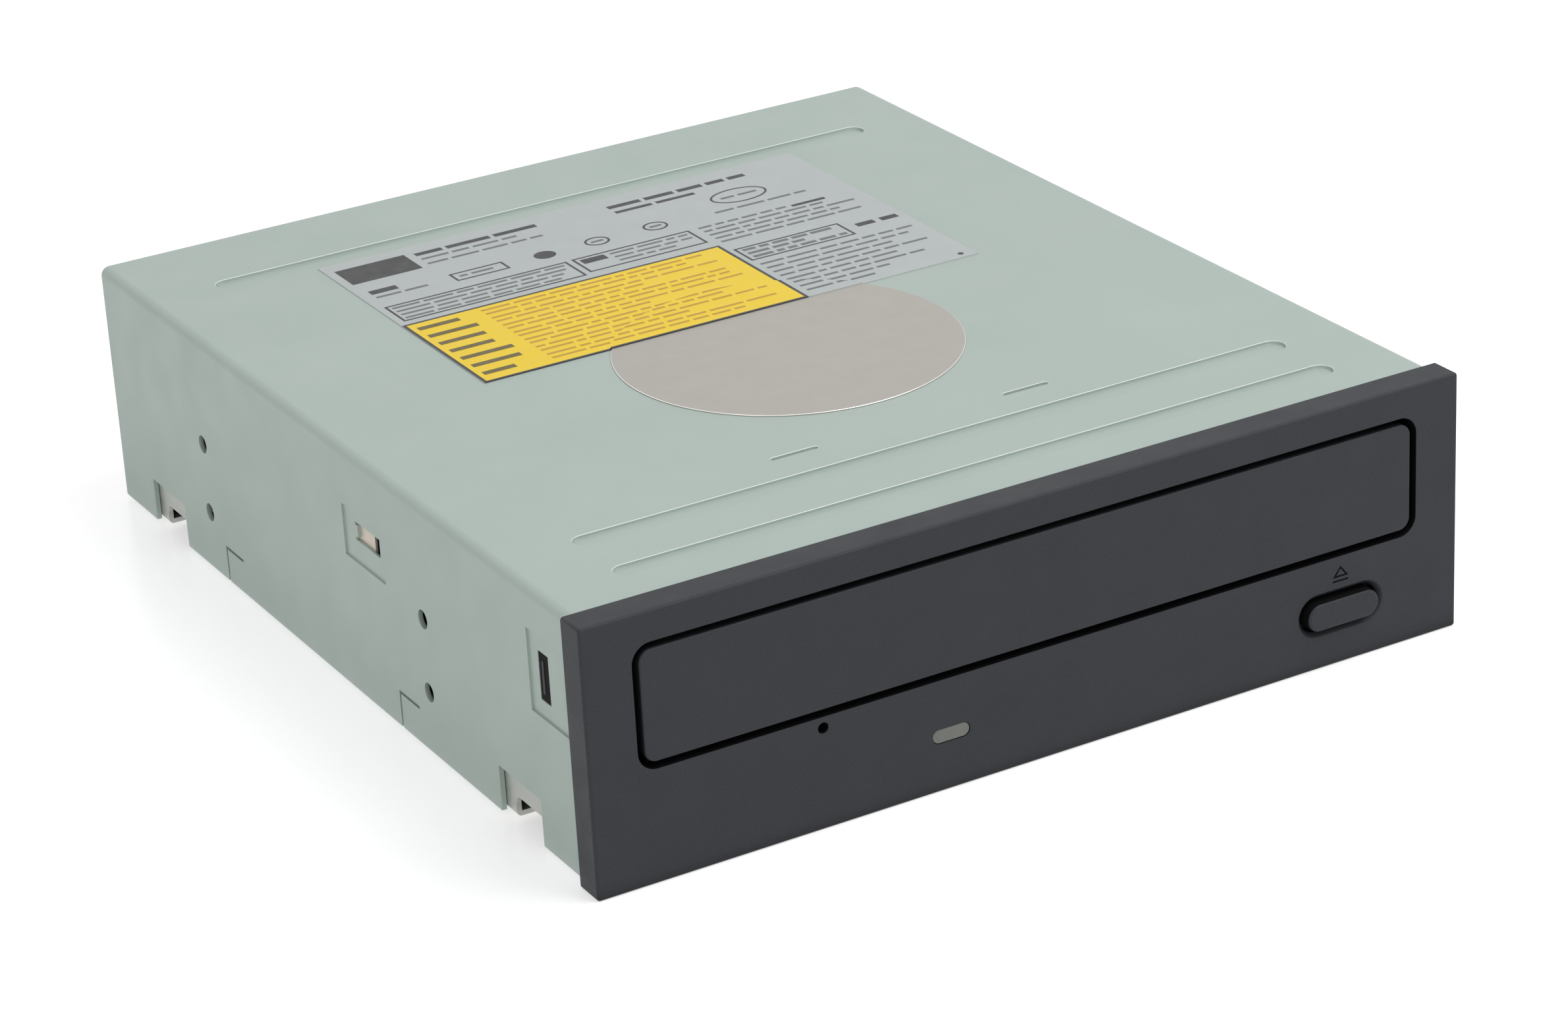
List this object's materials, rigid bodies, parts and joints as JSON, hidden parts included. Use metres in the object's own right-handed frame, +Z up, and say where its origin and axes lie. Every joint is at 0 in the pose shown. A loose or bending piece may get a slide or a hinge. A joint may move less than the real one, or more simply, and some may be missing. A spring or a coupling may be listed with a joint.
{
  "type": "half-height optical disc drive",
  "caption": "Internal half-height optical disc drive with sheet-metal case, dark bezel, motor-driven tray, eject button and a tilting laser mechanism.",
  "frame": {"origin": "middle of the drive's overall box, on the surface that it stands on", "axes": "+Z up, -Y towards the bezel and the tray's way out, +X across"},
  "size_m": [0.148, 0.171, 0.0416],
  "materials": {
    "cover_paint": "satin",
    "plain_steel": "satin",
    "bezel_plastic": "fine texture",
    "lamp_plastic": "milky",
    "foil": "satin",
    "label_paper": "paper",
    "frame_plastic": "satin",
    "tray_plastic": "satin",
    "gear_plastic": "satin",
    "lifter_plastic": "satin",
    "motor_steel": "satin",
    "belt_rubber": "matte",
    "damper_rubber": "matte",
    "polished_steel": "polished",
    "zinc_cast": "cast",
    "magnet": "plated",
    "lens_glass": "polished",
    "board_green": "satin",
    "chip_black": "matte",
    "socket_black": "satin",
    "socket_white": "satin",
    "pin_gold": "polished",
    "pin_tin": "satin",
    "ribbon": "satin",
    "screw_steel": "zinc"
  },
  "bodies": {
    "root": {"top_cover": "cover_paint", "bottom_pan": "plain_steel", "front_bezel": "bezel_plastic", "lamp_pipe": "lamp_plastic", "round_foil": "foil", "top_sticker": "label_paper", "pan_screws": "screw_steel", "loader_frame": "frame_plastic", "loading_motor": "motor_steel", "drive_belt": "belt_rubber", "clamp_bridge": "plain_steel", "bridge_screws": "screw_steel", "main_board": "board_green", "front_board": "board_green", "controller_chip": "chip_black", "memory_chip": "chip_black", "motor_driver_chip": "chip_black", "eject_switch": "chip_black", "status_lamp": "lens_glass", "front_ribbon": "ribbon", "data_socket": "socket_black", "header_pins": "pin_gold", "power_socket": "socket_white", "power_pins": "pin_tin", "jumper_header": "socket_black", "jumper_cap": "socket_black", "audio_socket": "socket_white"},
    "tray": {"disc_tray": "tray_plastic", "tray_door": "bezel_plastic"},
    "tray_wheel": {"tray_gear": "gear_plastic"},
    "idler_wheel": {"idler_gear": "gear_plastic"},
    "belt_wheel_body": {"belt_wheel": "gear_plastic"},
    "motor_wheel": {"motor_pulley": "pin_gold"},
    "cam": {"cam_slider": "gear_plastic"},
    "traverse": {"traverse_holder": "lifter_plastic", "traverse_base": "plain_steel", "traverse_dampers": "damper_rubber", "damper_screws": "screw_steel", "spindle_motor": "plain_steel", "spindle_stator": "motor_steel", "guide_rod_left": "polished_steel", "guide_rod_right": "polished_steel", "rod_clips": "lifter_plastic", "sled_motor": "motor_steel", "sled_bracket": "plain_steel", "screw_bearing": "gear_plastic"},
    "spindle": {"spindle_rotor": "motor_steel", "turntable": "tray_plastic", "turntable_mat": "damper_rubber"},
    "pickup": {"pickup_body": "zinc_cast", "actuator_magnets": "magnet", "screw_follower": "gear_plastic"},
    "lens": {"lens_holder": "lifter_plastic", "objective_lens": "lens_glass"},
    "sled_screw": {"lead_screw": "polished_steel"},
    "clamp": {"clamp_puck": "gear_plastic", "clamp_magnet": "magnet", "clamp_cap": "gear_plastic"},
    "button": {"eject_button": "bezel_plastic"},
    "plunger": {"switch_plunger": "socket_white"}
  },
  "joints": [
    {"name": "tray_slide", "type": "slide", "parent": "root", "child": "tray", "axis": [0, -1, 0], "range_m": [0, 0.137]},
    {"name": "tray_gear_spin", "type": "hinge", "parent": "root", "child": "tray_wheel", "pos_m": [-0.0472, -0.0647, 0.016], "axis": [0, 0, 1], "range_deg": [0, 787]},
    {"name": "idler_spin", "type": "hinge", "parent": "root", "child": "idler_wheel", "pos_m": [-0.03112, -0.0627, 0.015], "axis": [0, 0, 1], "range_deg": [-1834, 0]},
    {"name": "belt_wheel_spin", "type": "hinge", "parent": "root", "child": "belt_wheel_body", "pos_m": [-0.01439, -0.0657, 0.016], "axis": [0, 0, 1], "range_deg": [0, 4581]},
    {"name": "motor_pulley_spin", "type": "hinge", "parent": "root", "child": "motor_wheel", "pos_m": [0.01561, -0.0657, 0.019], "axis": [0, 0, 1], "range_deg": [0, 20399]},
    {"name": "cam_slide", "type": "slide", "parent": "root", "child": "cam", "axis": [1, 0, 0], "range_m": [0, 0.014]},
    {"name": "traverse_tilt", "type": "hinge", "parent": "root", "child": "traverse", "pos_m": [0, 0.062, 0.014], "axis": [1, 0, 0], "range_deg": [0, 4.5]},
    {"name": "spindle_spin", "type": "hinge", "parent": "traverse", "child": "spindle", "pos_m": [0, -0.014, 0.02], "axis": [0, 0, 1], "continuous": true},
    {"name": "pickup_slide", "type": "slide", "parent": "traverse", "child": "pickup", "axis": [0, 1, 0], "range_m": [0, 0.035]},
    {"name": "lead_screw_spin", "type": "hinge", "parent": "traverse", "child": "sled_screw", "pos_m": [0.0365, 0, 0.0155], "axis": [0, 1, 0], "range_deg": [0, 4202]},
    {"name": "lens_focus", "type": "slide", "parent": "pickup", "child": "lens", "axis": [0, 0, 1], "range_m": [-0.0005, 0.0005], "stiffness_N_per_m": 60},
    {"name": "clamp_spin", "type": "hinge", "parent": "root", "child": "clamp", "pos_m": [0, -0.014, 0.03], "axis": [0, 0, 1], "continuous": true},
    {"name": "eject_press", "type": "slide", "parent": "root", "child": "button", "axis": [0, 1, 0], "range_m": [0, 0.0012], "stiffness_N_per_m": 400, "springref_m": -0.0006},
    {"name": "switch_press", "type": "slide", "parent": "root", "child": "plunger", "axis": [0, 1, 0], "range_m": [0, 0.0012]}
  ],
  "couplings": [
    {"joint": "tray_gear_spin", "follows": "tray_slide", "rad_per_m": 100},
    {"joint": "idler_spin", "follows": "tray_slide", "rad_per_m": -233.33},
    {"joint": "belt_wheel_spin", "follows": "tray_slide", "rad_per_m": 583.33},
    {"joint": "motor_pulley_spin", "follows": "tray_slide", "rad_per_m": 2598.5},
    {"joint": "traverse_tilt", "follows": "cam_slide", "rad_per_m": 5.6094},
    {"joint": "lead_screw_spin", "follows": "pickup_slide", "rad_per_m": 2094.4},
    {"joint": "switch_press", "follows": "eject_press", "ratio": 1}
  ]
}
